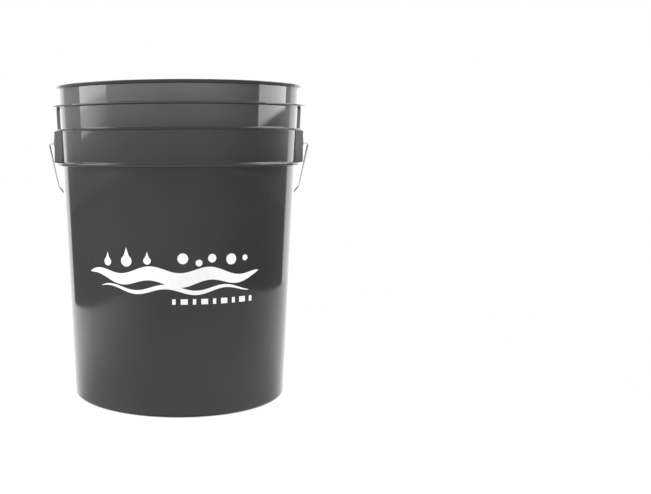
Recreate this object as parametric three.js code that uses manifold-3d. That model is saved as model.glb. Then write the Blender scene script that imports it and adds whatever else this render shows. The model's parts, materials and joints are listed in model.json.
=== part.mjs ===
// A round wash pail with moulded stacking rings, two bail ears, a wire bail and a rolling hand grip.
// Millimetres, +Z up. The origin is the centre of the base, on the surface that the pail stands on.
// The front faces -Y, the ears are on +X and -X, and the bail rests against the back, on +Y.

import * as THREE from "three";
import { mergeVertices } from "three/addons/utils/BufferGeometryUtils.js";
import Module from "manifold-3d";

const wasm = await Module();
wasm.setup();

// Pail wall: a straight cone of even thickness.
const HEIGHT = 377.5;
const BASE_RADIUS = 132.2;
const DRAFT = 0.0385;
const WALL = 2.3;
const BODY_SEGMENTS = 72;

// Base: a recessed floor inside a foot ring, with a rounded heel.
const HEEL_RADIUS = 5;
const FOOT_WIDTH = 5;
const FOOT_HEIGHT = 4;
const FLOOR_TOP = 6.5;
const INNER_HEEL_RADIUS = 5;
const GATE_BOSS_RADIUS = 6;
const GATE_BOSS_DROP = 1.5;

// Rim bead.
const RIM_RADIUS = 151;
const RIM_DEPTH = 3.6;
const RIM_ROUND = 1.8;
const RIM_EDGE = 0.6;

// Flanges round the wall, from the lowest up.
const RINGS = [
  { middle: 285.2, thickness: 3.6, radius: 150 },
  { middle: 325.5, thickness: 2.2, radius: 152.8 },
  { middle: 353, thickness: 2, radius: 157.2 },
];
const RING_EDGE = 0.6;

// Ears: hollow boxes, open below, with a domed boss round the wire hole. Each stands on the lowest
// flange, a lap into it, and reaches to a lap below the next flange's top.
const EAR_FACE = 152.2;
const EAR_ROOT = 142.5;
const EAR_WIDTH = 30;
const EAR_WALL = 2;
const EAR_LAP = 0.3;
const EAR_NOTCH_START = 144.6;
const BOSS_RADIUS = 9.5;
const BOSS_HEIGHT = 2.5;
const BOSS_RISE = 1;
const WIRE_HOLE_RADIUS = 2.1;

// Gusset rib above each ear.
const RIB_THICKNESS = 2.6;
const RIB_TOP_RADIUS = 150.9;
const RIB_FOOT_RADIUS = 149.8;
const RIB_ROOT = 144;

// Bail: one bent wire, drawn hanging straight down from its pivot line and then tilted.
const PIVOT_HEIGHT = 310.5;
const BAIL_TILT = THREE.MathUtils.degToRad(50.8);
const WIRE_RADIUS = 1.6;
const WIRE_SIDES = 8;
const HOOK_REACH = 9;
const HOOK_PLACE = 147.2;
const ELBOW_PLACE = 160.8;
const LEG_FOOT = 158.5;
const LEG_LENGTH = 90;
const BOW_RADIUS = 168;
const BOW_STEP = THREE.MathUtils.degToRad(4);
const BOW_END = 62;
const BAIL_DROP = 195;
const STRAIGHT_HALF = 51;
const BEND_STEPS = 4;

// Hand grip: a hollow barrel with an end plate and a collar at each end.
const GRIP_LENGTH = 95;
const GRIP_RADIUS = 11.25;
const BARREL_RADIUS = 10.4;
const COLLAR_LENGTH = 6;
const GRIP_WALL = 2.2;
const GRIP_END = 3;
const GRIP_HOLE_RADIUS = 2.6;
const GRIP_EDGE = 1;
const GRIP_SEGMENTS = 32;

// Paper label on the back, near the base.
const LABEL_WIDTH = 45;
const LABEL_HEIGHT = 14;
const LABEL_THICKNESS = 0.3;
const LABEL_GAP = 0.3;
const LABEL_MIDDLE = 25;
const LABEL_AZIMUTH = THREE.MathUtils.degToRad(48);

function wallRadius(z) {
  return BASE_RADIUS + DRAFT * z;
}

// Makes a solid from a closed geometry, with its corners merged and the slivers at a lathe's poles dropped.
function toSolid(geometry) {
  const bare = geometry.clone();
  bare.deleteAttribute("normal");
  bare.deleteAttribute("uv");
  const merged = mergeVertices(bare, 1e-4);
  const corners = merged.index.array;
  const triangles = [];
  for (let i = 0; i < corners.length; i += 3) {
    const [a, b, c] = corners.slice(i, i + 3);
    if (a !== b && b !== c && c !== a) {
      triangles.push(a, b, c);
    }
  }
  return new wasm.Manifold(new wasm.Mesh({
    numProp: 3,
    vertProperties: new Float32Array(merged.attributes.position.array),
    triVerts: new Uint32Array(triangles),
  }));
}

function toGeometry(solid) {
  const { vertProperties, triVerts } = solid.getMesh();
  const geometry = new THREE.BufferGeometry();
  geometry.setAttribute("position", new THREE.BufferAttribute(vertProperties, 3));
  geometry.setIndex(new THREE.BufferAttribute(triVerts, 1));
  geometry.computeVertexNormals();
  return geometry;
}

// A box given by its lowest and highest corners.
function boxSolid(low, high) {
  const size = high.map((value, axis) => value - low[axis]);
  const middle = high.map((value, axis) => (value + low[axis]) / 2);
  return toSolid(new THREE.BoxGeometry(...size).translate(...middle));
}

// Points on an arc about (r, z), with angles in degrees from the outward direction.
function arc(r, z, radius, from, to, steps) {
  return Array.from({ length: steps + 1 }, (unused, i) => {
    const angle = THREE.MathUtils.degToRad(from + ((to - from) * i) / steps);
    return [r + radius * Math.cos(angle), z + radius * Math.sin(angle)];
  });
}

// Revolves a profile of [radius, height] pairs about Z.
function revolve(profile, segments) {
  const points = profile.map(([r, z]) => new THREE.Vector2(r, z));
  return new THREE.LatheGeometry(points, segments).rotateX(Math.PI / 2);
}

function ringProfile({ middle, thickness, radius }) {
  const low = middle - thickness / 2;
  const high = middle + thickness / 2;
  return [
    [wallRadius(low), low],
    [radius - RING_EDGE, low],
    [radius, low + RING_EDGE],
    [radius, high - RING_EDGE],
    [radius - RING_EDGE, high],
    [wallRadius(high), high],
  ];
}

function rimProfile() {
  const low = HEIGHT - RIM_DEPTH;
  const inside = wallRadius(HEIGHT) - WALL;
  return [
    [wallRadius(low), low],
    [RIM_RADIUS - RIM_EDGE, low],
    [RIM_RADIUS, low + RIM_EDGE],
    ...arc(RIM_RADIUS - RIM_ROUND, HEIGHT - RIM_ROUND, RIM_ROUND, 0, 90, 4),
    ...arc(inside + RIM_ROUND, HEIGHT - RIM_ROUND, RIM_ROUND, 90, 180, 4),
  ];
}

// The underside, the outer wall with its flanges, the rim, the inner wall and the floor.
function bodyProfile() {
  const footOuter = wallRadius(HEEL_RADIUS) - HEEL_RADIUS;
  const footInner = footOuter - FOOT_WIDTH;
  const innerHeel = FLOOR_TOP + INNER_HEEL_RADIUS;
  const innerCorner = wallRadius(innerHeel) - WALL - INNER_HEEL_RADIUS;
  return [
    [0, FOOT_HEIGHT],
    [footInner - 1, FOOT_HEIGHT],
    [footInner, 0],
    ...arc(footOuter, HEEL_RADIUS, HEEL_RADIUS, -90, 0, 6),
    ...RINGS.flatMap(ringProfile),
    ...rimProfile(),
    ...arc(innerCorner, innerHeel, INNER_HEEL_RADIUS, 0, -90, 5),
    [0, FLOOR_TOP],
  ];
}

function gateBossSolid() {
  const height = GATE_BOSS_DROP + 1;
  const boss = new THREE.CylinderGeometry(GATE_BOSS_RADIUS, GATE_BOSS_RADIUS, height, 32);
  return toSolid(boss.rotateX(Math.PI / 2).translate(0, 0, FOOT_HEIGHT + 1 - height / 2));
}

// The ear on +X: a box that its cavity leaves open below, and the boss on its outer face.
function earSolid() {
  const [lowRing, highRing] = RINGS;
  const foot = lowRing.middle + lowRing.thickness / 2 - EAR_LAP;
  const top = highRing.middle + highRing.thickness / 2 - EAR_LAP;
  const ceiling = highRing.middle - highRing.thickness / 2;
  const half = EAR_WIDTH / 2;
  const shell = boxSolid([EAR_ROOT, -half, foot], [EAR_FACE, half, top]);
  const cavity = boxSolid(
    [EAR_ROOT - 1, EAR_WALL - half, foot - 1],
    [EAR_FACE - EAR_WALL, half - EAR_WALL, ceiling],
  );
  return shell.subtract(cavity).add(bossSolid());
}

function bossSolid() {
  const dome = Array.from({ length: 6 }, (unused, i) => {
    const angle = (i / 5) * (Math.PI / 2);
    return [BOSS_RADIUS * Math.cos(angle), BOSS_HEIGHT * Math.sin(angle)];
  });
  dome[dome.length - 1][0] = 0;
  const geometry = revolve([[0, -1], [BOSS_RADIUS, -1], ...dome], 40);
  geometry.rotateY(Math.PI / 2);
  return toSolid(geometry.translate(EAR_FACE, 0, PIVOT_HEIGHT + BOSS_RISE));
}

// Opens the lowest flange below the ear's cavity.
function notchSolid() {
  const half = EAR_WIDTH / 2 - EAR_WALL;
  const { middle, thickness } = RINGS[0];
  return boxSolid(
    [EAR_NOTCH_START, -half, middle - thickness],
    [EAR_FACE - EAR_WALL, half, middle + thickness],
  );
}

function wireHoleSolid() {
  const hole = new THREE.CylinderGeometry(WIRE_HOLE_RADIUS, WIRE_HOLE_RADIUS, 8, 16);
  return toSolid(hole.rotateZ(Math.PI / 2).translate(EAR_FACE, 0, PIVOT_HEIGHT));
}

function ribSolid() {
  const foot = RINGS[1].middle;
  const top = RINGS[2].middle;
  const outline = new THREE.Shape([
    new THREE.Vector2(RIB_ROOT, foot),
    new THREE.Vector2(RIB_FOOT_RADIUS, foot),
    new THREE.Vector2(RIB_TOP_RADIUS, top),
    new THREE.Vector2(RIB_ROOT, top),
  ]);
  const plate = new THREE.ExtrudeGeometry(outline, { depth: RIB_THICKNESS, bevelEnabled: false });
  return toSolid(plate.rotateX(Math.PI / 2).translate(0, RIB_THICKNESS / 2, 0));
}

function bodyGeometry() {
  let body = toSolid(revolve(bodyProfile(), BODY_SEGMENTS)).add(gateBossSolid());
  for (const turn of [0, 180]) {
    body = body
      .subtract(notchSolid().rotate([0, 0, turn]))
      .add(earSolid().rotate([0, 0, turn]))
      .add(ribSolid().rotate([0, 0, turn]))
      .subtract(wireHoleSolid().rotate([0, 0, turn]));
  }
  return toGeometry(body);
}

// A path that steps from one given point to the next, so bends get short steps and straights long ones.
class PointPath extends THREE.Curve {
  constructor(points) {
    super();
    this.points = points;
  }

  getUtoTmapping(u) {
    return u;
  }

  getPoint(t, target = new THREE.Vector3()) {
    const last = this.points.length - 1;
    const start = Math.min(Math.floor(t * last + 1e-9), last - 1);
    return target.lerpVectors(this.points[start], this.points[start + 1], t * last - start);
  }

  getTangent(t, target = new THREE.Vector3()) {
    const last = this.points.length - 1;
    const here = Math.round(t * last);
    const arriving = this.step(Math.max(here - 1, 0));
    const leaving = this.step(Math.min(here, last - 1));
    return target.copy(arriving).add(leaving).normalize();
  }

  step(start) {
    return new THREE.Vector3().subVectors(this.points[start + 1], this.points[start]).normalize();
  }
}

// Rounds each corner of a route of [x, z, bend radius] with a short arc, and returns [x, z] points.
function roundCorners(route) {
  return route.flatMap(([x, z, radius], i) => {
    if (!radius) {
      return [[x, z]];
    }
    const corner = new THREE.Vector2(x, z);
    const back = new THREE.Vector2(...route[i - 1]).sub(corner).normalize();
    const ahead = new THREE.Vector2(...route[i + 1]).sub(corner).normalize();
    const half = Math.acos(back.dot(ahead)) / 2;
    const centre = back.clone().add(ahead).normalize().multiplyScalar(radius / Math.sin(half)).add(corner);
    const start = back.clone().multiplyScalar(radius / Math.tan(half)).add(corner).sub(centre);
    const turn = (Math.PI - 2 * half) * Math.sign(ahead.cross(back));
    return Array.from({ length: BEND_STEPS + 1 }, (unused, step) => {
      const point = start.clone().rotateAround(new THREE.Vector2(), (turn * step) / BEND_STEPS).add(centre);
      return [point.x, point.y];
    });
  });
}

// Half of the wire, from the hook behind the +X ear to the grip, as seen with the bail hanging down.
function halfBailRoute() {
  const bowCentre = Math.sqrt(BOW_RADIUS ** 2 - LEG_FOOT ** 2) - LEG_LENGTH;
  const bow = [];
  const end = Math.acos(BOW_END / BOW_RADIUS);
  for (let angle = Math.acos(LEG_FOOT / BOW_RADIUS) + 2 * BOW_STEP; angle < end; angle += BOW_STEP) {
    bow.push([BOW_RADIUS * Math.cos(angle), bowCentre - BOW_RADIUS * Math.sin(angle), 0]);
  }
  return [
    [HOOK_PLACE, HOOK_REACH, 0],
    [HOOK_PLACE, 0, 2.6],
    [ELBOW_PLACE, 0, 3.2],
    [LEG_FOOT, -LEG_LENGTH, 16],
    ...bow,
    [STRAIGHT_HALF, -BAIL_DROP, 12],
    [0, -BAIL_DROP, 0],
  ];
}

function bailGeometry() {
  const half = roundCorners(halfBailRoute());
  const other = half.slice(0, -1).reverse().map(([x, z]) => [-x, z]);
  const points = [...half, ...other].map(([x, z]) => new THREE.Vector3(x, 0, z));
  const section = new THREE.Shape(
    Array.from({ length: WIRE_SIDES }, (unused, i) => {
      const angle = (i * 2 * Math.PI) / WIRE_SIDES;
      return new THREE.Vector2(WIRE_RADIUS * Math.cos(angle), WIRE_RADIUS * Math.sin(angle));
    }),
  );
  return new THREE.ExtrudeGeometry(section, {
    steps: points.length - 1,
    extrudePath: new PointPath(points),
  });
}

// The grip's wall as a closed outline: outside from end to end, then back through the hollow.
function gripProfile() {
  const end = GRIP_LENGTH / 2;
  const collar = end - COLLAR_LENGTH;
  const bore = BARREL_RADIUS - GRIP_WALL;
  return [
    [GRIP_HOLE_RADIUS, -end],
    [GRIP_RADIUS - GRIP_EDGE, -end],
    [GRIP_RADIUS, GRIP_EDGE - end],
    [GRIP_RADIUS, -collar],
    [BARREL_RADIUS, GRIP_EDGE - collar],
    [BARREL_RADIUS, collar - GRIP_EDGE],
    [GRIP_RADIUS, collar],
    [GRIP_RADIUS, end - GRIP_EDGE],
    [GRIP_RADIUS - GRIP_EDGE, end],
    [GRIP_HOLE_RADIUS, end],
    [GRIP_HOLE_RADIUS, end - GRIP_END],
    [bore, end - GRIP_END],
    [bore, GRIP_END - end],
    [GRIP_HOLE_RADIUS, GRIP_END - end],
    [GRIP_HOLE_RADIUS, -end],
  ];
}

function gripGeometry() {
  return revolve(gripProfile(), GRIP_SEGMENTS).rotateY(Math.PI / 2);
}

// A curved patch that follows the wall, made about the Z axis and facing +X.
function labelGeometry() {
  const inner = wallRadius(LABEL_MIDDLE) + LABEL_GAP;
  const outer = inner + LABEL_THICKNESS;
  const half = LABEL_WIDTH / 2 / inner;
  const outline = new THREE.Shape();
  outline.absarc(0, 0, outer, -half, half, false);
  outline.absarc(0, 0, inner, half, -half, true);
  const patch = new THREE.ExtrudeGeometry(outline, { depth: LABEL_HEIGHT, bevelEnabled: false });
  patch.translate(-inner, 0, -LABEL_HEIGHT / 2);
  patch.rotateY(Math.atan(DRAFT));
  return patch.translate(inner, 0, LABEL_MIDDLE).rotateZ(LABEL_AZIMUTH);
}

function namedMesh(name, geometry, look) {
  const mesh = new THREE.Mesh(geometry, new THREE.MeshStandardMaterial(look));
  mesh.name = name;
  return mesh;
}

const group = new THREE.Group();
const pail = { color: 0x3b3d3f, roughness: 0.28, metalness: 0 };
group.add(namedMesh("pail_body", bodyGeometry(), pail));
group.add(namedMesh("barcode_label", labelGeometry(), { color: 0xf1f1ee, roughness: 0.6, metalness: 0 }));

const bail = new THREE.Group();
bail.position.z = PIVOT_HEIGHT;
bail.rotation.x = BAIL_TILT;
bail.add(namedMesh("bail_wire", bailGeometry(), { color: 0xb4b6b8, roughness: 0.32, metalness: 1 }));
const grip = namedMesh("hand_grip", gripGeometry(), { color: 0x1c1d1e, roughness: 0.45, metalness: 0 });
grip.position.z = -BAIL_DROP;
bail.add(grip);
group.add(bail);

export default group;
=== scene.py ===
import json
import math

import bmesh
import bpy
from mathutils import Matrix, Vector, noise


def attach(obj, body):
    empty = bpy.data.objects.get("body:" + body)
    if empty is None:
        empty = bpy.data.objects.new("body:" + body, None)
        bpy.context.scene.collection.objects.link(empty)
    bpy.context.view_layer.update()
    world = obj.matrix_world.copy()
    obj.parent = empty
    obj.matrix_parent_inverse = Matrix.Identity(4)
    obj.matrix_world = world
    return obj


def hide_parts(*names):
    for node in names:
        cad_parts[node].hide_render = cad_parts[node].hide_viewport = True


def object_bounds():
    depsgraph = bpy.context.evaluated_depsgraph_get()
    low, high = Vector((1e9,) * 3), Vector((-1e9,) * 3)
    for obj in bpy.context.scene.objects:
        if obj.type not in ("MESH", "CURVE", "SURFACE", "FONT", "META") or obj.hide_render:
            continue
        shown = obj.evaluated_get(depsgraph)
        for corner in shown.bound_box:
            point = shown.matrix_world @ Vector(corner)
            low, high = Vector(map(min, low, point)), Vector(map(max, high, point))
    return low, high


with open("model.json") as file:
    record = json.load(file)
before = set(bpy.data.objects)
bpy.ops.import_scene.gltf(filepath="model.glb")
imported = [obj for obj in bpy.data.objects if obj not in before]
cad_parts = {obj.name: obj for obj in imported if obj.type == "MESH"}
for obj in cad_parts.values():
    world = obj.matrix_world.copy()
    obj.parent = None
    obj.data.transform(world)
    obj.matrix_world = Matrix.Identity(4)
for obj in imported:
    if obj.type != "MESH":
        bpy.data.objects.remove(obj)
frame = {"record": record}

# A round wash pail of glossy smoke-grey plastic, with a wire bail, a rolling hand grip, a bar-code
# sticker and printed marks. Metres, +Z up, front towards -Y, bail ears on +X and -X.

cad_low, cad_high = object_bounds()
joints = {joint["name"]: joint for joint in frame["record"]["behaviour"]["joints"]}
pivot = Vector(joints["bail_swing"]["pos_m"])
grip_middle = Vector(joints["grip_roll"]["pos_m"])

# Pail wall: a straight cone of even thickness.
HEIGHT = cad_high.z
BASE_RADIUS = 0.1322
DRAFT = 0.0385
WALL = 0.0023
BODY_SEGMENTS = 320
ROW = 0.006
EDGE_ROW = 0.00025
WOBBLE = 0.00011
FINE_WOBBLE = 0.00003

# Base.
HEEL_RADIUS = 0.0050
FOOT_WIDTH = 0.005
FOOT_HEIGHT = 0.004
FLOOR_TOP = 0.0065
INNER_HEEL_RADIUS = 0.005
UNDERSIDE_RINGS = (0.045, 0.085)
SPOKES = 8

# Rim bead and the flanges (rings). RINGS gives each one's middle height, thickness and radius,
# from the lowest up. The roots are the fillets at the wall, on a flange's upper and lower side.
RIM_RADIUS = 0.151
RIM_DEPTH = 0.0036
RINGS = ((0.2852, 0.0036, 0.150), (0.3255, 0.0022, 0.1528), (0.353, 0.0020, 0.1572))
RIM_DRAFT = 0.11
RING_DRAFTS = (0.04, 0.08, 0.05)
UPPER_ROOT = 0.0010
LOWER_ROOT = 0.0003

# Ears.
EAR_FACE = 0.1522
EAR_ROOT = 0.1425
EAR_WIDTH = 0.030
EAR_WALL = 0.002
EAR_LAP = 0.0003
EAR_NOTCH_START = 0.1446
BOSS_RADIUS = 0.0095
BOSS_HEIGHT = 0.0025
BOSS_RISE = 0.001
WIRE_HOLE_RADIUS = 0.0021
RIB_THICKNESS = 0.0026
RIB_TOP_RADIUS = 0.1509
RIB_FOOT_RADIUS = 0.1498
RIB_ROOT = 0.144

# Bail wire, as it would hang straight down from the pivot line.
WIRE_RADIUS = 0.0016
HOOK_REACH = 0.009
HOOK_PLACE = 0.1472
ELBOW_PLACE = 0.1608
LEG_FOOT = 0.1585
LEG_LENGTH = 0.090
BOW_RADIUS = 0.168
BOW_STEP = math.radians(1.5)
BOW_END = 0.062
STRAIGHT_HALF = 0.051
HOOK_BEND = 0.0026
ELBOW_BEND = 0.0032
KNEE_BEND = 0.016
KNEE_ROOM = math.radians(6)
STRAIGHT_BEND = 0.012
BAIL_DROP = (grip_middle - pivot).length
BAIL_TILT = math.atan2(grip_middle.y - pivot.y, pivot.z - grip_middle.z)

# Hand grip.
GRIP_LENGTH = 0.095
GRIP_RADIUS = 0.01125
BARREL_RADIUS = 0.0104
COLLAR_LENGTH = 0.006
GRIP_WALL = 0.0022
GRIP_HOLE_RADIUS = 0.0026
GRIP_GROOVES = 13
GROOVE_PITCH = 0.0055
GROOVE_DEPTH = 0.0007
GROOVE_HALF = 0.0015
GROOVE_FLOOR_HALF = 0.0007

# Sticker and printed marks.
LABEL_WIDTH = 0.045
LABEL_HEIGHT = 0.014
LABEL_MIDDLE = 0.025
BACK_AZIMUTH = math.radians(48)
FRONT_AZIMUTH = math.radians(-90)
INK_LIFT = 0.00006
PAPER_LIFT = 0.00016
BARS_LIFT = PAPER_LIFT + 0.00005
MARK_ROOT = -0.0003
MARK_ROW = 0.004
MARK_COLUMN = 0.002
SLIVER = 1e-5
WAVE_LENGTH = 0.068
WAVE_PHASE = 0.4

# Meshes.
WELD = 1e-7
ON_AXIS = 1e-6
BEVEL_STEPS = 3

# Camera, with angles in degrees, and the table top that only it sees.
CAMERA_PLACE = (0, -1.1163, 0.3047)
CAMERA_PITCH = 6.34
CAMERA_ROLL = -0.21
SENSOR_WIDTH = 36
LENS = 49.46
SHIFT = 0.2249
TABLE_RADIUS = 0.575
TABLE_SEGMENTS = 128
TABLE_CIRCLES = 10
TABLE_DROP = 0.0002

# Studio light: brightnesses, and places in degrees of azimuth or elevation. A pair gives the two
# ends of a span or of a fade. SOFT is half the width of the fade at an edge. The slope and the tilt
# are in degrees of elevation for each degree of azimuth. The table's edge rises beyond BEND, by RISE
# at twice BEND.
DEGREES = 180 / math.pi
ROOM = 1.0
ROOM_MIDDLE = -25
SIDE_LEVEL = 0.3
SIDE_FADE = (115, 35)
HORIZON_GLOW = 2.8
HORIZON = (-1.5, 4)
HORIZON_SOFT = 3
HORIZON_FADE = (6, 16)
SHELF = 0.7
SHELF_TOP = -5.5
SHELF_SOFT = 0.2
WINDOW = 4.8
WINDOW_SOFT = 0.8
WINDOW_TOP_FADE = (60, 45)
LEFT_WINDOW = (-106, -70)
LOWER_PANE = 0.45
PANE_FADE = (-60, -98)
PANE_TOP = 0
PANE_TOP_SOFT = 0.5
PANE_FOOT = -1.9
PANE_FOOT_SOFT = 0.1
RIGHT_WINDOW = (80, 121)
SILL_MIDDLE = -0.7
SILL_SLOPE = 0.06
SILL_SOFT = 0.2
BACKDROP = 1.9
BACKDROP_LEFT = -140
BACKDROP_RIGHT = 132
BACKDROP_SOFT = 2
BACKDROP_TOP_FADE = (60, 40)
TABLE = 0.88
TABLE_BACK = 0.9
TABLE_BACK_FADE = (118, 160)
TABLE_FRONT = 0.65
TABLE_MIDDLE = 25
TABLE_SIDES = 1.25
TABLE_SIDES_FADE = (30, 150)
TABLE_FAR_FADE = (-19, -13.5)
TABLE_UNDER = 0.3
TABLE_UNDER_FADE = (-90, -30)
TABLE_EDGE = -12.9
TABLE_EDGE_BEND = 60
TABLE_EDGE_RISE = 1.4
TABLE_EDGE_SOFT = 0.15
TABLE_TILT = 0.005


# --- meshes ---------------------------------------------------------------------------------------


def new_object(name, mesh_builder):
    """Turns a bmesh into an object, with its faces pointing out."""
    bmesh.ops.remove_doubles(mesh_builder, verts=mesh_builder.verts, dist=WELD)
    bmesh.ops.recalc_face_normals(mesh_builder, faces=mesh_builder.faces)
    mesh = bpy.data.meshes.new(name)
    mesh_builder.to_mesh(mesh)
    mesh_builder.free()
    obj = bpy.data.objects.new(name, mesh)
    bpy.context.scene.collection.objects.link(obj)
    return obj


def smooth(obj, degrees):
    """Shades an object smooth up to an angle, with its flat faces shaded flat."""
    for polygon in obj.data.polygons:
        polygon.use_smooth = True
    obj.data.set_sharp_from_angle(angle=math.radians(degrees))
    obj.modifiers.new("even_normals", "WEIGHTED_NORMAL").keep_sharp = True


def rounded_route(corners, finest=math.radians(11)):
    """Rounds each (a, b, radius) corner of an open route with a short arc."""
    points = []
    for index, (a, b, radius) in enumerate(corners):
        corner = Vector((a, b))
        if not radius:
            points.append(corner)
            continue
        back = (Vector(corners[index - 1][:2]) - corner).normalized()
        ahead = (Vector(corners[index + 1][:2]) - corner).normalized()
        half = back.angle(ahead) / 2
        centre = corner + (back + ahead).normalized() * (radius / math.sin(half))
        start = corner + back * (radius / math.tan(half)) - centre
        turn = math.pi - 2 * half
        if back.x * ahead.y - back.y * ahead.x > 0:
            turn = -turn
        steps = max(2, math.ceil(abs(turn) / finest))
        for step in range(steps + 1):
            points.append(centre + Matrix.Rotation(turn * step / steps, 2) @ start)
    return points


def with_rows(points, longest, margin=0.0):
    """Adds points along the long straights of a route, and one a margin away from each end."""
    out = [points[0]]
    for previous, point in zip(points, points[1:]):
        length = (point - previous).length
        rows = max(1, math.ceil(length / longest))
        places = [row / rows for row in range(1, rows)]
        if margin and length > 4 * margin:
            places = [margin / length, *places, 1 - margin / length]
        out.extend(previous.lerp(point, place) for place in places)
        out.append(point)
    return out


def revolve(name, outline, segments, shape=None):
    """Revolves (radius, height) points about Z. An outline off the axis closes on itself."""
    bm = bmesh.new()
    closed = outline[0].x > ON_AXIS
    rings = []
    for point in outline:
        if point.x < ON_AXIS:
            rings.append([bm.verts.new((0, 0, point.y))] * segments)
            continue
        ring = []
        for step in range(segments):
            angle = 2 * math.pi * step / segments
            radius = point.x + (shape(angle, point) if shape else 0)
            ring.append(bm.verts.new((radius * math.cos(angle), radius * math.sin(angle), point.y)))
        rings.append(ring)
    pairs = list(zip(rings, rings[1:]))
    if closed:
        pairs.append((rings[-1], rings[0]))
    for low, high in pairs:
        for step in range(segments):
            after = (step + 1) % segments
            corners = dict.fromkeys((low[step], low[after], high[after], high[step]))
            bm.faces.new(list(corners))
    return new_object(name, bm)


def round_edges(bm, radius):
    bmesh.ops.bevel(
        bm, geom=bm.edges[:], offset=radius, segments=BEVEL_STEPS, profile=0.5, affect="EDGES"
    )


def box_object(name, low, high, edge_radius=0.0):
    bm = bmesh.new()
    bmesh.ops.create_cube(bm, size=1)
    size = Vector(high) - Vector(low)
    middle = (Vector(high) + Vector(low)) / 2
    for vert in bm.verts:
        vert.co = Vector(c * s for c, s in zip(vert.co, size)) + middle
    if edge_radius:
        round_edges(bm, edge_radius)
    return new_object(name, bm)


def boolean(target, tool, operation):
    """Joins or cuts target with tool, and removes tool."""
    modifier = target.modifiers.new("boolean", "BOOLEAN")
    modifier.operation = operation
    modifier.solver = "MANIFOLD"
    modifier.object = tool
    graph = bpy.context.evaluated_depsgraph_get()
    mesh = bpy.data.meshes.new_from_object(target.evaluated_get(graph))
    target.modifiers.clear()
    old = target.data
    target.data = mesh
    bpy.data.meshes.remove(old)
    bpy.data.objects.remove(tool)


def turned(obj, matrix):
    obj.data.transform(matrix)
    return obj


# --- pail body ------------------------------------------------------------------------------------


def wobble(azimuth, z):
    """The slight unevenness of a moulded wall."""
    around = Vector((math.cos(azimuth), math.sin(azimuth), 0)) * 1.9
    broad = noise.noise(around + Vector((0, 0, z * 11)))
    fine = noise.noise(around * 2.6 + Vector((7, 3, z * 21)))
    return WOBBLE * broad + FINE_WOBBLE * fine


def wall_radius(z):
    return BASE_RADIUS + DRAFT * z


def body_outline():
    """The pail's half section, from the axis under the floor to the axis inside."""
    foot_outer = wall_radius(HEEL_RADIUS) - HEEL_RADIUS
    foot_inner = foot_outer - FOOT_WIDTH
    corners = [
        (0, FOOT_HEIGHT, 0),
        (foot_inner - 0.001, FOOT_HEIGHT, 0.0006),
        (foot_inner, 0, 0.0004),
        (wall_radius(0), 0, HEEL_RADIUS - 0.0002),
    ]
    for (middle, thickness, radius), draft in zip(RINGS, RING_DRAFTS):
        low, high = middle - thickness / 2, middle + thickness / 2
        corners += [
            (wall_radius(low), low, LOWER_ROOT),
            (radius - draft * thickness, low, 0.0005),
            (radius, high, thickness * 0.3),
            (wall_radius(high), high, UPPER_ROOT),
        ]
    rim_low = HEIGHT - RIM_DEPTH
    inside = wall_radius(HEIGHT) - WALL
    corners += [
        (wall_radius(rim_low), rim_low, LOWER_ROOT),
        (RIM_RADIUS - RIM_DRAFT * RIM_DEPTH, rim_low, 0.0006),
        (RIM_RADIUS, HEIGHT, 0.0009),
        (inside, HEIGHT, 0.0019),
        (wall_radius(FLOOR_TOP) - WALL, FLOOR_TOP, INNER_HEEL_RADIUS),
        (0, FLOOR_TOP, 0),
    ]
    return with_rows(rounded_route(corners), ROW, EDGE_ROW)


def body_shape(azimuth, point):
    """Eases the wobble off the foot and the floor."""
    floor_radius, ease_height = 0.11, 0.02
    if point.x < floor_radius:
        return 0.0
    ease = min(1.0, max(0.0, (point.y - FOOT_HEIGHT) / ease_height))
    return wobble(azimuth, point.y) * ease


def underside_details():
    """Shallow moulded rings and spokes under the floor, and the gate boss at its middle."""
    pieces = []
    sunk, crest = FOOT_HEIGHT + 0.001, FOOT_HEIGHT - 0.0011
    for radius in UNDERSIDE_RINGS:
        outline = rounded_route(
            [
                (radius - 0.0016, sunk, 0),
                (radius - 0.0010, crest, 0.0004),
                (radius + 0.0010, crest, 0.0004),
                (radius + 0.0016, sunk, 0),
            ]
        )
        pieces.append(revolve("underside_ring", outline, 160))
    inner, outer = UNDERSIDE_RINGS
    for spoke in range(SPOKES):
        low = (inner + 0.0018, -0.0008, FOOT_HEIGHT - 0.0009)
        high = (outer - 0.0018, 0.0008, sunk)
        rib = box_object("underside_spoke", low, high, 0.0004)
        pieces.append(turned(rib, Matrix.Rotation(math.tau * (spoke + 0.5) / SPOKES, 4, "Z")))
    boss = [
        (0, FOOT_HEIGHT - 0.0012, 0),
        (0.004, FOOT_HEIGHT - 0.0015, 0.0004),
        (0.006, FOOT_HEIGHT - 0.0015, 0.0004),
        (0.0065, sunk, 0),
        (0, sunk, 0),
    ]
    pieces.append(revolve("gate_boss", rounded_route(boss), 64))
    return pieces


def ear():
    """The ear on +X: a box that its cavity leaves open below, with a domed boss on its face."""
    low_ring, high_ring = RINGS[0], RINGS[1]
    foot = low_ring[0] + low_ring[1] / 2 - EAR_LAP
    top = high_ring[0] + high_ring[1] / 2 - EAR_LAP
    ceiling = high_ring[0] - high_ring[1] / 2
    half = EAR_WIDTH / 2
    shell = box_object("ear", (EAR_ROOT, -half, foot), (EAR_FACE, half, top), 0.0007)
    cavity = box_object(
        "ear_cavity",
        (EAR_ROOT - 0.001, EAR_WALL - half, foot - 0.001),
        (EAR_FACE - EAR_WALL, half - EAR_WALL, ceiling),
        0.0005,
    )
    boolean(shell, cavity, "DIFFERENCE")
    boolean(shell, ear_boss(), "UNION")
    return shell


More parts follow.
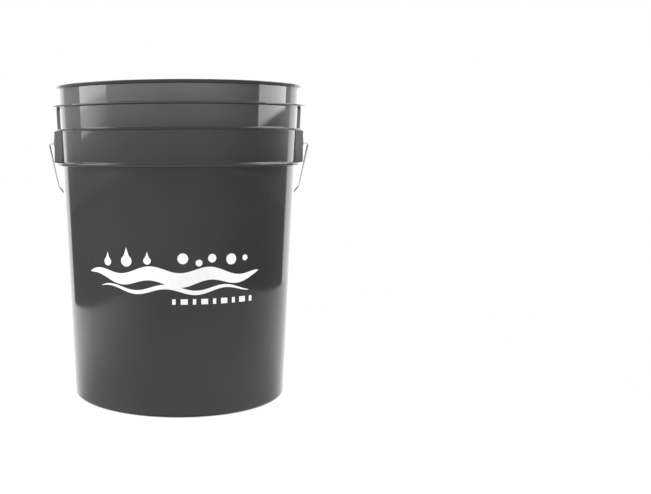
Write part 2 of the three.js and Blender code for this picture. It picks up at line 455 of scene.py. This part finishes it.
def ear_boss():
    """A low dome, turned to face +X."""
    outline = [Vector((0, -0.001)), Vector((BOSS_RADIUS, -0.001))]
    steps = 14
    for step in range(steps + 1):
        angle = math.pi / 2 * step / steps
        outline.append(Vector((BOSS_RADIUS * math.cos(angle), BOSS_HEIGHT * math.sin(angle))))
    outline[-1].x = 0
    boss = revolve("ear_boss", outline, 72)
    place = Matrix.Translation((EAR_FACE, 0, pivot.z + BOSS_RISE))
    return turned(boss, place @ Matrix.Rotation(math.pi / 2, 4, "Y"))


def ear_notch():
    """Opens the lowest flange below the ear's cavity."""
    half = EAR_WIDTH / 2 - EAR_WALL
    middle, thickness = RINGS[0][:2]
    low = (EAR_NOTCH_START, -half, middle - thickness)
    return box_object("ear_notch", low, (EAR_FACE - EAR_WALL, half, middle + thickness))


def wire_hole():
    """A hole along X through the ear's face, with a small countersink."""
    reach, past = 0.004, BOSS_HEIGHT + 0.001
    countersink_radius = WIRE_HOLE_RADIUS + 0.0008
    outline = [
        Vector((0, -reach)),
        Vector((WIRE_HOLE_RADIUS, -reach)),
        Vector((WIRE_HOLE_RADIUS, BOSS_HEIGHT - 0.0006)),
        Vector((countersink_radius, BOSS_HEIGHT + 0.0004)),
        Vector((countersink_radius, past)),
        Vector((0, past)),
    ]
    place = Matrix.Translation((EAR_FACE, 0, pivot.z))
    return turned(revolve("wire_hole", outline, 40), place @ Matrix.Rotation(math.pi / 2, 4, "Y"))


def ear_rib():
    """The gusset between the upper two flanges, above the ear."""
    foot, top = RINGS[1][0], RINGS[2][0]
    outline = ((RIB_ROOT, foot), (RIB_FOOT_RADIUS, foot), (RIB_TOP_RADIUS, top), (RIB_ROOT, top))
    bm = bmesh.new()
    sides = []
    for y in (-RIB_THICKNESS / 2, RIB_THICKNESS / 2):
        sides.append([bm.verts.new((x, y, z)) for x, z in outline])
    bm.faces.new(sides[0])
    bm.faces.new(sides[1][::-1])
    for index in range(4):
        after = (index + 1) % 4
        bm.faces.new((sides[0][index], sides[1][index], sides[1][after], sides[0][after]))
    round_edges(bm, 0.0005)
    return new_object("ear_rib", bm)


def pail_body():
    body = revolve("pail_moulding", body_outline(), BODY_SEGMENTS, body_shape)
    for piece in underside_details():
        boolean(body, piece, "UNION")
    for angle in (0, math.pi):
        turn = Matrix.Rotation(angle, 4, "Z")
        boolean(body, turned(ear_notch(), turn), "DIFFERENCE")
        boolean(body, turned(ear(), turn), "UNION")
        boolean(body, turned(ear_rib(), turn), "UNION")
        boolean(body, turned(wire_hole(), turn), "DIFFERENCE")
    smooth(body, 30)
    return body


# --- bail and grip --------------------------------------------------------------------------------


def bail_points():
    """The wire's centre line in its own plane, as (x, z) points from hook to hook."""
    bow_centre = math.sqrt(BOW_RADIUS**2 - LEG_FOOT**2) - LEG_LENGTH
    start, end = math.acos(LEG_FOOT / BOW_RADIUS), math.acos(BOW_END / BOW_RADIUS)
    bow = []
    angle = start + KNEE_ROOM
    while angle < end:
        x, z = BOW_RADIUS * math.cos(angle), bow_centre - BOW_RADIUS * math.sin(angle)
        bow.append((x, z, 0))
        angle += BOW_STEP
    route = [
        (HOOK_PLACE, HOOK_REACH, 0),
        (HOOK_PLACE, 0, HOOK_BEND),
        (ELBOW_PLACE, 0, ELBOW_BEND),
        (LEG_FOOT, -LEG_LENGTH, KNEE_BEND),
        *bow,
        (STRAIGHT_HALF, -BAIL_DROP, STRAIGHT_BEND),
        (0, -BAIL_DROP, 0),
    ]
    half = with_rows(rounded_route(route, finest=math.radians(9)), longest=0.008)
    return half + [Vector((-point.x, point.y)) for point in half[-2::-1]]


def bail_wire():
    """A round wire along the centre line, with its two ends tapered."""
    sides, taper = 20, 0.8
    points = [Vector((point.x, 0, point.y)) for point in bail_points()]
    bm = bmesh.new()
    rings = []
    last = len(points) - 1
    for index, point in enumerate(points):
        ahead = (points[min(index + 1, last)] - points[max(index - 1, 0)]).normalized()
        across = Vector((0, 1, 0))
        third = ahead.cross(across)
        radius = WIRE_RADIUS * (taper if index in (0, last) else 1)
        ring = []
        for side in range(sides):
            angle = 2 * math.pi * side / sides
            offset = across * math.cos(angle) + third * math.sin(angle)
            ring.append(bm.verts.new(point + offset * radius))
        rings.append(ring)
    for low, high in zip(rings, rings[1:]):
        for side in range(sides):
            after = (side + 1) % sides
            bm.faces.new((low[side], low[after], high[after], high[side]))
    bm.faces.new(rings[0][::-1])
    bm.faces.new(rings[-1])
    wire = new_object("bail_rod", bm)
    place = Matrix.Translation(pivot) @ Matrix.Rotation(BAIL_TILT, 4, "X")
    smooth(turned(wire, place), 40)
    return wire


def grip_outline():
    """The grip's closed section: outside from end to end with shallow grooves, then back inside,
    through a hollow that is closed by an end wall on each side."""
    end = GRIP_LENGTH / 2
    collar = end - COLLAR_LENGTH
    dish, end_wall = 0.0016, 0.0029
    corners = [
        (GRIP_HOLE_RADIUS + 0.0016, dish - end, 0.0004),
        (BARREL_RADIUS - GRIP_WALL, dish - end, 0.0005),
        (BARREL_RADIUS - GRIP_WALL + 0.0006, -end, 0.0004),
        (GRIP_RADIUS, -end, 0.0010),
        (GRIP_RADIUS, -collar, 0.0005),
        (BARREL_RADIUS, -collar + 0.0012, 0.0008),
    ]
    for groove in range(GRIP_GROOVES):
        middle = (groove - (GRIP_GROOVES - 1) / 2) * GROOVE_PITCH
        corners += [
            (BARREL_RADIUS, middle - GROOVE_HALF, 0.0005),
            (BARREL_RADIUS - GROOVE_DEPTH, middle - GROOVE_FLOOR_HALF, 0.0005),
            (BARREL_RADIUS - GROOVE_DEPTH, middle + GROOVE_FLOOR_HALF, 0.0005),
            (BARREL_RADIUS, middle + GROOVE_HALF, 0.0005),
        ]
    corners += [(radius, -z, bend) for radius, z, bend in reversed(corners[:6])]
    hollow = end - dish - end_wall
    bore = BARREL_RADIUS - GRIP_WALL
    corners += [
        (GRIP_HOLE_RADIUS, end - dish + 0.0003, 0.0003),
        (GRIP_HOLE_RADIUS, hollow, 0),
        (bore, hollow, 0),
        (bore, -hollow, 0),
        (GRIP_HOLE_RADIUS, -hollow, 0),
        (GRIP_HOLE_RADIUS, dish - end - 0.0003, 0),
    ]
    corners[0] = (*corners[0][:2], 0)  # where the section begins and ends, so it is left sharp
    return rounded_route(corners, finest=math.radians(24))


def grip_shape(azimuth, point):
    """A low parting line along the two sides of the mould."""
    if point.x < BARREL_RADIUS - GROOVE_DEPTH * 1.2:
        return 0.0
    height, half_width = 0.00012, 0.05
    return height * math.exp(-((math.sin(azimuth) / half_width) ** 2))


def hand_grip():
    grip = revolve("rolling_grip", grip_outline(), 96, grip_shape)
    place = Matrix.Translation(grip_middle) @ Matrix.Rotation(BAIL_TILT, 4, "X")
    smooth(turned(grip, place @ Matrix.Rotation(math.pi / 2, 4, "Y")), 35)
    return grip


# --- sticker and printed marks --------------------------------------------------------------------


def wall_point(azimuth, s, z, lift):
    """A point on the wall, s round from azimuth (seen from outside, to the right) and z up."""
    angle = azimuth + s / wall_radius(z)
    radius = wall_radius(z) + wobble(angle, z) + lift
    return Vector((radius * math.cos(angle), radius * math.sin(angle), z))


def add_ribbon(bm, azimuth, samples, lift):
    """Adds a closed thin patch on the wall, given as (s, low z, high z) from left to right."""
    widest = max(high - low for s, low, high in samples)
    rows = max(1, math.ceil(widest / MARK_ROW))
    layers = []
    for height in (lift, MARK_ROOT):
        grid = []
        for s, low, high in samples:
            column = [
                bm.verts.new(wall_point(azimuth, s, low + (high - low) * row / rows, height))
                for row in range(rows + 1)
            ]
            grid.append(column)
        layers.append(grid)
    top, under = layers
    for above, next_above, below, next_below in zip(top, top[1:], under, under[1:]):
        for row in range(rows):
            bm.faces.new((above[row], next_above[row], next_above[row + 1], above[row + 1]))
            bm.faces.new((below[row], below[row + 1], next_below[row + 1], next_below[row]))
        for row in (0, rows):
            bm.faces.new((above[row], below[row], next_below[row], next_above[row]))
    for above, below in ((top[0], under[0]), (top[-1], under[-1])):
        for row in range(rows):
            bm.faces.new((above[row], above[row + 1], below[row + 1], below[row]))


def disc(s, z, radius, steps=22):
    """Samples of a round dot."""
    samples = []
    for step in range(steps + 1):
        angle = math.pi * step / steps
        half = max(radius * math.sin(angle), SLIVER)
        samples.append((s - radius * math.cos(angle), z - half, z + half))
    return samples


def drop(s, z, radius, steps=26):
    """Samples of a water drop: a round belly and a point at the top."""
    tip = 2.3 * radius
    samples = []
    for step in range(steps + 1):
        angle = math.pi * step / steps
        x = -radius * math.cos(angle)
        belly = radius * math.sin(angle)
        shoulder = tip * (1 - abs(x) / radius) ** 1.45
        high = max(belly * 0.9, shoulder)
        samples.append((s + x, z - max(belly, SLIVER), z + max(high, SLIVER)))
    return samples


def bar(s, z, width, height):
    """Samples of a plain rectangle about (s, z)."""
    columns = max(1, math.ceil(width / MARK_COLUMN))
    samples = []
    for column in range(columns + 1):
        samples.append((s + width * (column / columns - 0.5), z - height / 2, z + height / 2))
    return samples


def ring_halves(s, z, radius, line, steps=40):
    """Samples of the upper and the lower half of a thin ring."""
    upper, lower = [], []
    inner = radius - line
    for step in range(steps + 1):
        x = -radius * math.cos(math.pi * step / steps)
        outside = math.sqrt(max(radius**2 - x**2, 0))
        inside = math.sqrt(max(inner**2 - x**2, 0))
        outside = max(outside, inside + SLIVER)
        upper.append((s + x, z + inside, z + outside))
        lower.append((s + x, z - outside, z - inside))
    return [upper, lower]


def wave(start, end, z, swing, thickness, steps=110):
    """Samples of a tapered sinuous band."""
    samples = []
    for step in range(steps + 1):
        t = step / steps
        s = start + (end - start) * t
        middle = z + swing * math.sin(2 * math.pi * (s - start) / WAVE_LENGTH + WAVE_PHASE)
        half = max(thickness / 2 * math.sin(math.pi * t) ** 0.6, SLIVER)
        samples.append((s, middle - half, middle + half))
    return samples


def printed(name, azimuth, shapes, lift=INK_LIFT):
    bm = bmesh.new()
    for samples in shapes:
        add_ribbon(bm, azimuth, samples, lift)
    mark = new_object(name, bm)
    smooth(mark, 30)
    return mark


def front_mark():
    """A plain water motif: drops and bubbles over two waves, with a dashed line below."""
    left, right = -0.114, 0.098
    shapes = [
        wave(left, right, 0.1625, swing=0.0038, thickness=0.0165),
        wave(left + 0.018, right - 0.014, 0.1480, swing=0.0034, thickness=0.0052),
        drop(-0.086, 0.1775, 0.0048),
        drop(-0.061, 0.1795, 0.0066),
        drop(-0.036, 0.1805, 0.0044),
        disc(0.004, 0.1830, 0.0060),
        disc(0.022, 0.1780, 0.0038),
        disc(0.037, 0.1830, 0.0048),
        disc(0.060, 0.1812, 0.0062),
        disc(0.078, 0.1818, 0.0034),
    ]
    dash_start, dash_pitch = -0.006, 0.0115
    for dash in range(9):
        width = 0.0078 if dash % 2 else 0.0038
        shapes.append(bar(dash_start + dash * dash_pitch, 0.1345, width, 0.0062))
    return printed("front_mark", FRONT_AZIMUTH, shapes)


def back_mark():
    """A plain framed drop in dark ink, with two bars above it."""
    middle, half = 0.0635, 0.0232
    line, gap = 0.0011, 0.0001
    upright = 2 * half - line - gap
    shapes = [
        bar(0, middle + half, 2 * half, line),
        bar(0, middle - half, 2 * half, line),
        bar(-half, middle, line, upright),
        bar(half, middle, line, upright),
        *ring_halves(0, middle, 0.0195, 0.0016),
        drop(0, middle - 0.0035, 0.0078),
        bar(0, 0.1010, 0.040, 0.0052),
        bar(0, 0.0935, 0.044, 0.0026),
    ]
    return printed("back_mark", BACK_AZIMUTH, shapes)


def bar_sticker():
    bm = bmesh.new()
    add_ribbon(bm, BACK_AZIMUTH, bar(0, LABEL_MIDDLE, LABEL_WIDTH, LABEL_HEIGHT), PAPER_LIFT)
    sticker = new_object("bar_sticker", bm)
    smooth(sticker, 30)
    return sticker


def sticker_bars():
    """Plain upright bars of made-up widths. Every other width is a gap."""
    widths = (4, 1, 1, 2, 4, 1, 1, 2, 1, 3, 2, 1, 3, 2, 1, 1, 4, 1, 3, 1, 1, 3, 2, 1, 2)
    module, spread = 0.00048, 1.4
    middle, height = LABEL_MIDDLE + 0.0010, 0.0086
    shapes = []
    s = -0.0165
    for index, width in enumerate(widths):
        if index % 2 == 0:
            shapes.append(bar(s + width * module / 2, middle, width * module, height))
        s += width * module * spread
    return printed("sticker_bars", BACK_AZIMUTH, shapes, BARS_LIFT)


# --- materials ------------------------------------------------------------------------------------


class Net:
    """A short way to write a node tree."""

    def __init__(self, tree):
        self.tree = tree

    def add(self, kind, **settings):
        node = self.tree.nodes.new(kind)
        for key, value in settings.items():
            if hasattr(node, key):
                setattr(node, key, value)
            else:
                node.inputs[key.replace("_", " ")].default_value = value
        return node

    def link(self, source, target):
        self.tree.links.new(source, target)

    def feed(self, value, target):
        if isinstance(value, bpy.types.NodeSocket):
            self.link(value, target)
        else:
            target.default_value = value

    def math(self, operation, *values):
        node = self.add("ShaderNodeMath", operation=operation)
        for value, target in zip(values, node.inputs):
            self.feed(value, target)
        return node.outputs[0]

    def mix(self, first, second, factor):
        node = self.add("ShaderNodeMix")
        for value, target in zip((factor, first, second), (node.inputs[i] for i in (0, 2, 3))):
            self.feed(value, target)
        return node.outputs[0]

    def step(self, source, low, high):
        """0 at low, 1 at high, smooth between, whichever is the larger."""
        node = self.add("ShaderNodeMapRange", interpolation_type="SMOOTHSTEP")
        self.link(source, node.inputs["Value"])
        node.inputs["From Min"].default_value = low
        node.inputs["From Max"].default_value = high
        return node.outputs["Result"]

    def edge(self, source, place, soft):
        """0 below a place and 1 above it, or the other way round if soft is negative."""
        return self.step(source, place - soft, place + soft)

    def band(self, source, low, high, soft):
        """1 between low and high, 0 beyond them."""
        return self.math("MULTIPLY", self.edge(source, low, soft), self.edge(source, high, -soft))

    def ramp(self, source, *stops):
        ramp = self.add("ShaderNodeValToRGB")
        elements = ramp.color_ramp.elements
        while len(elements) < len(stops):
            elements.new(0.5)
        for element, (position, colour) in zip(elements, stops):
            element.position = position
            grey = (colour, colour, colour)
            element.color = (*colour, 1) if isinstance(colour, tuple) else (*grey, 1)
        self.link(source, ramp.inputs["Fac"])
        return ramp.outputs["Color"]


class Material(Net):
    """A Principled material whose textures lie in the object's own space."""

    def __init__(self, name):
        self.material = bpy.data.materials.new(name)
        self.material.use_nodes = True
        super().__init__(self.material.node_tree)
        self.shader = self.tree.nodes["Principled BSDF"]
        self.place = self.add("ShaderNodeTexCoord").outputs["Object"]

    def stretched(self, scale):
        mapping = self.add("ShaderNodeMapping")
        mapping.inputs["Scale"].default_value = scale
        self.link(self.place, mapping.inputs["Vector"])
        return mapping.outputs["Vector"]

    def noise(self, scale, detail, vector=None):
        texture = self.add("ShaderNodeTexNoise", Scale=scale, Detail=detail)
        self.link(vector or self.place, texture.inputs["Vector"])
        return texture.outputs["Fac"]

    def bump(self, source, distance, strength, under=None):
        bump = self.add("ShaderNodeBump", Distance=distance, Strength=strength)
        self.link(source, bump.inputs["Height"])
        if under:
            self.link(under, bump.inputs["Normal"])
        return bump.outputs["Normal"]

    def finish(self, **values):
        for key, value in values.items():
            socket = self.shader.inputs[key.replace("_", " ")]
            self.feed(value, socket)
        return self.material


def pail_plastic():
    """Glossy smoke-grey polyethylene: soft mottling, uneven gloss, faint flow marks and fine peel."""
    nodes = Material("smoke_plastic")
    cloud = nodes.noise(9, 3)
    colour = nodes.ramp(cloud, (0.3, (0.023, 0.023, 0.0232)), (0.7, (0.029, 0.029, 0.0292)))
    haze = nodes.noise(26, 4, nodes.stretched((1, 1, 0.45)))
    rough = nodes.ramp(haze, (0.35, 0.03), (0.75, 0.06))
    flow = nodes.bump(nodes.noise(60, 3, nodes.stretched((1, 1, 0.12))), 0.00004, 0.25)
    peel = nodes.bump(nodes.noise(900, 2), 0.00001, 0.1, flow)
    return nodes.finish(Base_Color=colour, Roughness=rough, Normal=peel, IOR=1.5)


def bail_steel():
    """Bright zinc on drawn wire, with fine streaks and an uneven tone and gloss."""
    nodes = Material("zinc_wire")
    patch = nodes.noise(70, 4)
    colour = nodes.ramp(patch, (0.3, (0.72, 0.73, 0.74)), (0.7, (0.90, 0.91, 0.92)))
    rough = nodes.ramp(nodes.noise(160, 3), (0.3, 0.22), (0.7, 0.42))
    streak = nodes.bump(nodes.noise(1400, 3, nodes.stretched((0.2, 1, 1))), 0.00003, 0.4)
    return nodes.finish(Base_Color=colour, Roughness=rough, Normal=streak, Metallic=1.0)


def grip_plastic():
    """Satin black plastic with a fine grain, a little uneven in tone and gloss."""
    nodes = Material("satin_black")
    colour = nodes.ramp(nodes.noise(40, 3), (0.3, (0.016, 0.016, 0.017)), (0.7, (0.026, 0.026, 0.027)))
    rough = nodes.ramp(nodes.noise(110, 4), (0.3, 0.34), (0.7, 0.52))
    grain = nodes.bump(nodes.noise(2600, 2), 0.00005, 0.5)
    return nodes.finish(Base_Color=colour, Roughness=rough, Normal=grain)


def white_ink():
    """Screen ink: white, slightly uneven, with a soft gloss."""
    nodes = Material("white_ink")
    colour = nodes.ramp(nodes.noise(300, 4), (0.3, (0.82, 0.82, 0.81)), (0.7, (0.90, 0.90, 0.89)))
    rough = nodes.ramp(nodes.noise(120, 3), (0.3, 0.28), (0.7, 0.42))
    grain = nodes.bump(nodes.noise(1800, 2), 0.00002, 0.3)
    return nodes.finish(Base_Color=colour, Roughness=rough, Normal=grain)


def black_ink():
    """Matt black ink, slightly uneven."""
    nodes = Material("black_ink")
    colour = nodes.ramp(nodes.noise(300, 4), (0.3, (0.002, 0.002, 0.002)), (0.7, (0.006, 0.006, 0.006)))
    rough = nodes.ramp(nodes.noise(140, 3), (0.3, 0.55), (0.7, 0.75))
    grain = nodes.bump(nodes.noise(1800, 2), 0.00002, 0.3)
    return nodes.finish(
        Base_Color=colour, Roughness=rough, Normal=grain, Specular_IOR_Level=0.12
    )


def label_paper():
    """Coated white paper with a faint fibre."""
    nodes = Material("label_paper")
    colour = nodes.ramp(nodes.noise(220, 5), (0.3, (0.80, 0.80, 0.78)), (0.7, (0.86, 0.86, 0.85)))
    rough = nodes.ramp(nodes.noise(160, 3), (0.3, 0.48), (0.7, 0.62))
    fibre = nodes.bump(nodes.noise(2400, 4, nodes.stretched((1, 1, 0.4))), 0.00003, 0.4)
    return nodes.finish(Base_Color=colour, Roughness=rough, Normal=fibre)


def floor_white():
    """A lit white table top."""
    nodes = Material("table_white")
    tone = nodes.ramp(nodes.noise(5, 3), (0.3, 0.40), (0.7, 0.43))
    return nodes.finish(
        Base_Color=tone,
        Roughness=0.7,
        Specular_IOR_Level=0.2,
        Emission_Color=(1, 1, 1, 1),
        Emission_Strength=0.75,
    )


# --- stage ----------------------------------------------------------------------------------------


def add_floor():
    """A round white table top, a little below the foot's contact ring."""
    outline = [
        Vector((TABLE_RADIUS * circle / TABLE_CIRCLES, -TABLE_DROP))
        for circle in range(TABLE_CIRCLES + 1)
    ]
    floor = revolve("floor", outline, TABLE_SEGMENTS)
    floor.data.materials.append(floor_white())
    floor.visible_diffuse = False
    floor.visible_glossy = False
    floor.visible_shadow = False


def add_world():
    """White to the camera. For light and reflections, a studio by direction: azimuth round from
    the front (the camera's side), positive to the right, and elevation, both in degrees."""
    world = bpy.data.worlds.new("studio")
    bpy.context.scene.world = world
    world.use_nodes = True
    world.node_tree.nodes.clear()
    net = Net(world.node_tree)
    split = net.add("ShaderNodeSeparateXYZ")
    net.link(net.add("ShaderNodeTexCoord").outputs["Generated"], split.inputs[0])
    x, y, z = (split.outputs[axis] for axis in "XYZ")
    around = net.math("MULTIPLY", net.math("ARCTAN2", x, net.math("MULTIPLY", y, -1)), DEGREES)
    height = net.math("MULTIPLY", net.math("ARCSINE", z), DEGREES)
    away = net.math("ABSOLUTE", around)

    # The room: even overhead, brighter along the horizon and dimmer below a shelf, and less bright
    # to the sides than in front.
    aside = net.math("ABSOLUTE", net.math("SUBTRACT", around, ROOM_MIDDLE))
    front = net.mix(SIDE_LEVEL, 1.0, net.step(aside, *SIDE_FADE))
    glow = net.math("MULTIPLY", net.band(height, *HORIZON, HORIZON_SOFT), HORIZON_GLOW)
    room = net.math("MULTIPLY", net.math("ADD", glow, ROOM), front)
    room = net.mix(room, ROOM, net.step(height, *HORIZON_FADE))
    shelf = net.edge(height, SHELF_TOP, SHELF_SOFT)
    room = net.mix(net.math("MULTIPLY", front, SHELF), room, shelf)

    # Two tall windows. The left one has a dimmer lower pane that fades to the right; the right one's
    # sill slopes.
    high = net.step(height, *WINDOW_TOP_FADE)
    pane = net.math("MULTIPLY", net.step(around, *PANE_FADE), LOWER_PANE)
    pane = net.math("MULTIPLY", pane, net.edge(height, PANE_FOOT, PANE_FOOT_SOFT))
    glass = net.mix(pane, 1.0, net.edge(height, PANE_TOP, PANE_TOP_SOFT))
    left = net.math("MULTIPLY", net.band(around, *LEFT_WINDOW, WINDOW_SOFT), glass)
    slope = net.math("MULTIPLY", net.math("SUBTRACT", around, sum(RIGHT_WINDOW) / 2), SILL_SLOPE)
    sill = net.edge(net.math("SUBTRACT", height, slope), SILL_MIDDLE, SILL_SOFT)
    right = net.math("MULTIPLY", net.band(around, *RIGHT_WINDOW, WINDOW_SOFT), sill)
    windows = net.math("MULTIPLY", net.math("ADD", left, right), WINDOW)
    room = net.math("ADD", room, net.math("MULTIPLY", windows, high))

    # The white backdrop behind the pail.
    behind = net.math(
        "MAXIMUM",
        net.edge(around, BACKDROP_LEFT, -BACKDROP_SOFT),
        net.edge(around, BACKDROP_RIGHT, BACKDROP_SOFT),
    )
    behind = net.math("MULTIPLY", behind, net.step(height, *BACKDROP_TOP_FADE))
    room = net.mix(room, BACKDROP, behind)

    # The white table top, brighter towards the backdrop, and towards its far edge brighter to the
    # sides. The edge lies higher towards the backdrop, and the table stands slightly askew.
    near = net.math("MULTIPLY_ADD", net.step(away, *TABLE_BACK_FADE), TABLE_BACK, TABLE)
    aside = net.math("ABSOLUTE", net.math("SUBTRACT", around, TABLE_MIDDLE))
    far = net.math("MULTIPLY_ADD", net.step(aside, *TABLE_SIDES_FADE), TABLE_SIDES, TABLE_FRONT)
    table = net.mix(near, far, net.step(height, *TABLE_FAR_FADE))
    shade = net.mix(TABLE_UNDER, 1.0, net.step(height, *TABLE_UNDER_FADE))
    table = net.math("MULTIPLY", table, shade)
    back = net.math("SUBTRACT", away, TABLE_EDGE_BEND)
    back = net.math("MAXIMUM", net.math("DIVIDE", back, TABLE_EDGE_BEND), 0.0)
    edge = net.math("MULTIPLY_ADD", net.math("MULTIPLY", back, back), TABLE_EDGE_RISE, TABLE_EDGE)
    edge = net.math("MULTIPLY_ADD", around, TABLE_TILT, edge)
    below = net.edge(net.math("SUBTRACT", height, edge), 0, -TABLE_EDGE_SOFT)
    bright = net.mix(room, table, below)

    lit = net.add("ShaderNodeBackground")
    net.link(bright, lit.inputs["Strength"])
    seen = net.add("ShaderNodeBackground")
    for background in (lit, seen):
        background.inputs["Color"].default_value = (1, 1, 1, 1)
    mix = net.add("ShaderNodeMixShader")
    net.link(net.add("ShaderNodeLightPath").outputs["Is Camera Ray"], mix.inputs["Fac"])
    net.link(lit.outputs[0], mix.inputs[1])
    net.link(seen.outputs[0], mix.inputs[2])
    net.link(mix.outputs[0], net.add("ShaderNodeOutputWorld").inputs["Surface"])


def add_camera():
    """Looks straight at the pail from in front, a little downwards; the shift sets the pail
    left of the picture's middle, as it is framed."""
    data = bpy.data.cameras.new("camera")
    camera = bpy.data.objects.new("camera", data)
    bpy.context.scene.collection.objects.link(camera)
    tilt = Matrix.Rotation(math.radians(90 - CAMERA_PITCH), 4, "X")
    roll = Matrix.Rotation(math.radians(CAMERA_ROLL), 4, "Z")
    camera.matrix_world = Matrix.Translation(CAMERA_PLACE) @ tilt @ roll
    data.sensor_width = SENSOR_WIDTH
    data.lens = LENS
    data.shift_x = SHIFT
    data.clip_start = 0.01
    bpy.context.scene.camera = camera


def dress(piece, body, material, replaced=None):
    """Gives a piece its material and the body it rides on, and hides the node it stands for."""
    piece.data.materials.clear()
    piece.data.materials.append(material)
    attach(piece, body)
    if replaced:
        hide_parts(replaced)


add_camera()
add_floor()
add_world()
bpy.context.scene.view_settings.view_transform = "Standard"

dark_ink = black_ink()
dress(pail_body(), "pail", pail_plastic(), "pail_body")
dress(bail_wire(), "bail", bail_steel(), "bail_wire")
dress(hand_grip(), "grip", grip_plastic(), "hand_grip")
dress(front_mark(), "pail", white_ink())
dress(back_mark(), "pail", dark_ink)
dress(bar_sticker(), "pail", label_paper(), "barcode_label")
dress(sticker_bars(), "pail", dark_ink)
